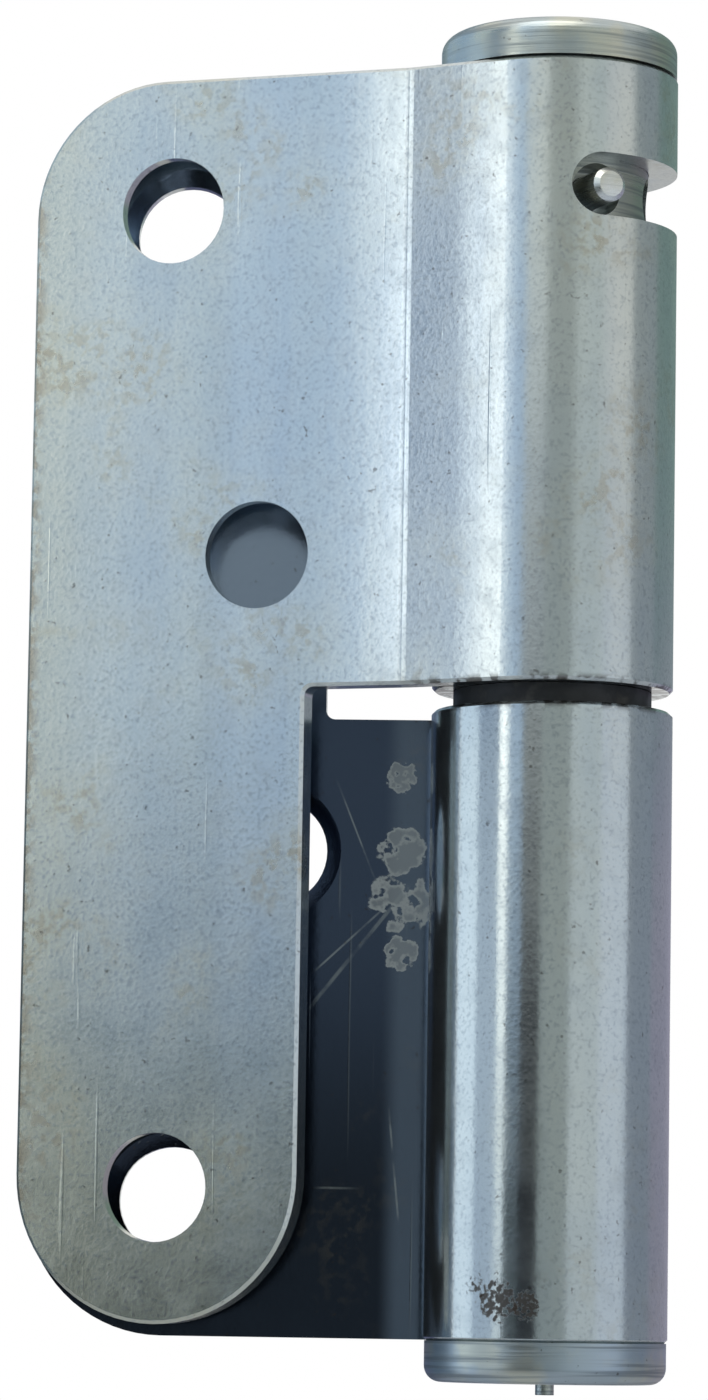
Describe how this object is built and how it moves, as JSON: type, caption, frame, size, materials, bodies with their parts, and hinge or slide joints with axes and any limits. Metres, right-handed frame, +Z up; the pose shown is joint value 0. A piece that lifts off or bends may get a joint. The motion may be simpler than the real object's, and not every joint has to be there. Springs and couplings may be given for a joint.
{
  "type": "spring hinge",
  "caption": "Self-closing spring hinge of zinc-plated steel with two L-shaped rolled leaves, a tension cap with a stop pin in a slot, and a black washer between the barrels.",
  "frame": {"origin": "midway between the two outer screw holes of the lower leaf, on its outer face, which lies against the door frame", "axes": "+Z up along the hinge axis, +Y out of the lower leaf's outer face into the door frame, +X from the leaves to the barrel"},
  "size_m": [0.0565, 0.0209, 0.1181],
  "materials": {
    "zinc_plated_steel": "zinc-plated, bluish passivation, worn",
    "turned_steel": "turned and zinc-plated",
    "spring_steel": "oiled spring wire",
    "black_plastic": "moulded, matt"
  },
  "bodies": {
    "frame_side": {"lower_leaf": "zinc_plated_steel", "anchor_cap": "turned_steel", "pivot_sleeve": "turned_steel", "thrust_washer": "black_plastic", "torsion_spring": "spring_steel"},
    "door_side": {"upper_leaf": "zinc_plated_steel"},
    "tension_plug": {"tension_cap": "turned_steel"},
    "pin": {"stop_pin": "turned_steel"}
  },
  "joints": [
    {"name": "leaf_swing", "type": "hinge", "parent": "frame_side", "child": "door_side", "pos_m": [0.0327, -0.00865, 0], "axis": [0, 0, 1], "range_deg": [0, 200], "stiffness_Nm_per_rad": 0.5, "springref_deg": -28.65, "deforming": ["torsion_spring"]},
    {"name": "tension_turn", "type": "hinge", "parent": "door_side", "child": "tension_plug", "pos_m": [0.0327, -0.00865, 0.0444], "axis": [0, 0, 1], "range_deg": [-9, 125], "deforming": ["torsion_spring"]},
    {"name": "pin_pull", "type": "slide", "parent": "tension_plug", "child": "pin", "axis": [0.4379, -0.899, 0], "range_m": [0, 0.007]}
  ]
}
